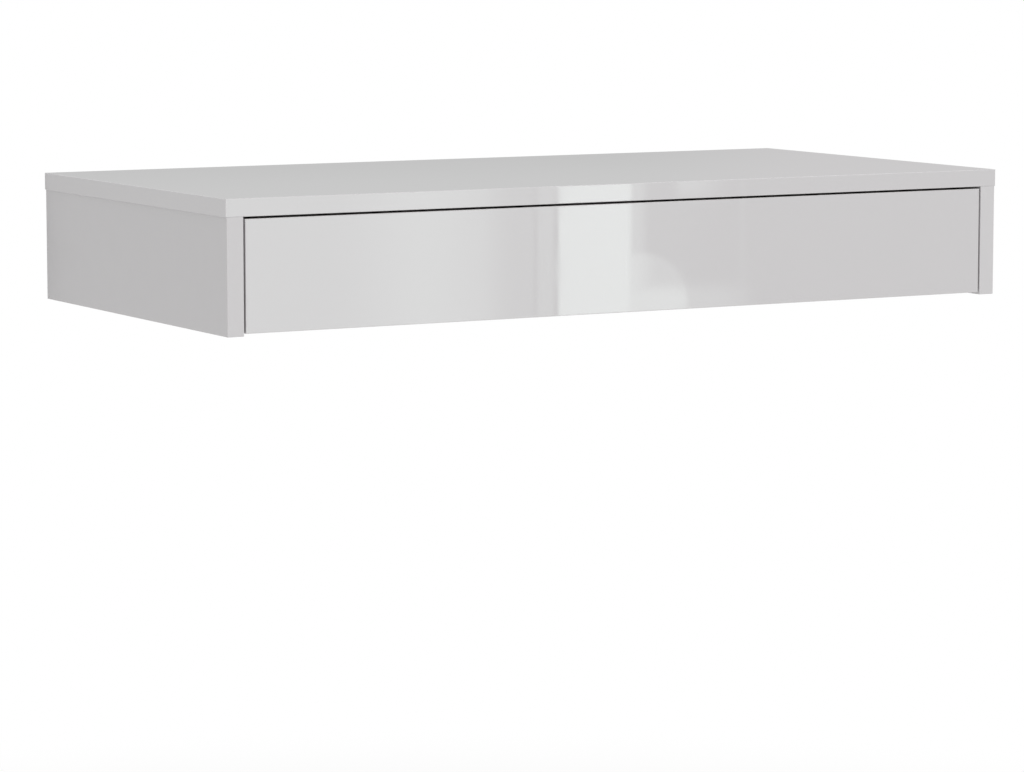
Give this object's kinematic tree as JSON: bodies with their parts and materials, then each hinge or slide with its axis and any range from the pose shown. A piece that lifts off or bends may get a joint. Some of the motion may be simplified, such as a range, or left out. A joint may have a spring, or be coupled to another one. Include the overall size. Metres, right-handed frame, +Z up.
{
  "type": "floating shelf with drawer",
  "caption": "Shallow wall-hung shelf of light grey gloss board with a full-width handleless drawer on roller runners, screwed to the wall through a hidden rear rail.",
  "frame": {"origin": "middle of the wall screw pattern, on the wall's face", "axes": "+X to the right seen from the room, +Y into the wall, +Z up; the drawer opens along -Y"},
  "size_m": [0.816, 0.4, 0.12],
  "materials": {
    "gloss_board": "light grey high-gloss lacquered board",
    "gloss_band": "light grey gloss edge band",
    "satin_board": "light grey satin melamine-faced board",
    "satin_band": "light grey satin edge band",
    "drawer_board": "light grey foil-wrapped board",
    "hardboard": "hardboard, light face up and brown face down",
    "runner_steel": "white epoxy-coated steel sheet",
    "roller_plastic": "white nylon",
    "zinc": "bare zinc die casting",
    "screw_steel": "zinc-plated steel",
    "beech": "raw beech"
  },
  "bodies": {
    "carcass": {"top_panel": "gloss_board", "top_edge_bands": "gloss_band", "left_side_panel": "satin_board", "right_side_panel": "satin_board", "side_edge_bands": "satin_band", "wall_rail": "satin_board", "carcass_cam_locks": "zinc", "carcass_cam_bolts": "screw_steel", "carcass_dowels": "beech", "left_carcass_runner": "runner_steel", "right_carcass_runner": "runner_steel", "carcass_runner_screws": "screw_steel", "front_roller_pins": "screw_steel"},
    "drawer": {"drawer_front": "gloss_board", "drawer_front_edge_bands": "gloss_band", "drawer_left_side": "drawer_board", "drawer_right_side": "drawer_board", "drawer_back": "drawer_board", "drawer_bottom": "hardboard", "drawer_cam_locks": "zinc", "drawer_cam_bolts": "screw_steel", "drawer_dowels": "beech", "drawer_back_screws": "screw_steel", "drawer_bottom_screws": "screw_steel", "left_drawer_runner": "runner_steel", "right_drawer_runner": "runner_steel", "drawer_runner_screws": "screw_steel", "rear_roller_pins": "screw_steel"},
    "left_front_roller": {"left_front_roller": "roller_plastic"},
    "right_front_roller": {"right_front_roller": "roller_plastic"},
    "left_rear_roller": {"left_rear_roller": "roller_plastic"},
    "right_rear_roller": {"right_rear_roller": "roller_plastic"}
  },
  "joints": [
    {"name": "drawer_slide", "type": "slide", "parent": "carcass", "child": "drawer", "axis": [0, -1, 0], "range_m": [0, 0.25]},
    {"name": "left_front_roller_spin", "type": "hinge", "parent": "carcass", "child": "left_front_roller", "pos_m": [-0.38575, -0.367, -0.0255], "axis": [1, 0, 0], "range_deg": [-5, 1440]},
    {"name": "right_front_roller_spin", "type": "hinge", "parent": "carcass", "child": "right_front_roller", "pos_m": [0.38575, -0.367, -0.0255], "axis": [1, 0, 0], "range_deg": [-5, 1440]},
    {"name": "left_rear_roller_spin", "type": "hinge", "parent": "drawer", "child": "left_rear_roller", "pos_m": [-0.38375, -0.049, -0.0242], "axis": [1, 0, 0], "range_deg": [-5, 1440]},
    {"name": "right_rear_roller_spin", "type": "hinge", "parent": "drawer", "child": "right_rear_roller", "pos_m": [0.38375, -0.049, -0.0242], "axis": [1, 0, 0], "range_deg": [-5, 1440]}
  ],
  "couplings": [
    {"joint": "left_front_roller_spin", "follows": "drawer_slide", "rad_per_m": 100},
    {"joint": "right_front_roller_spin", "follows": "drawer_slide", "rad_per_m": 100},
    {"joint": "left_rear_roller_spin", "follows": "drawer_slide", "rad_per_m": 100},
    {"joint": "right_rear_roller_spin", "follows": "drawer_slide", "rad_per_m": 100}
  ]
}
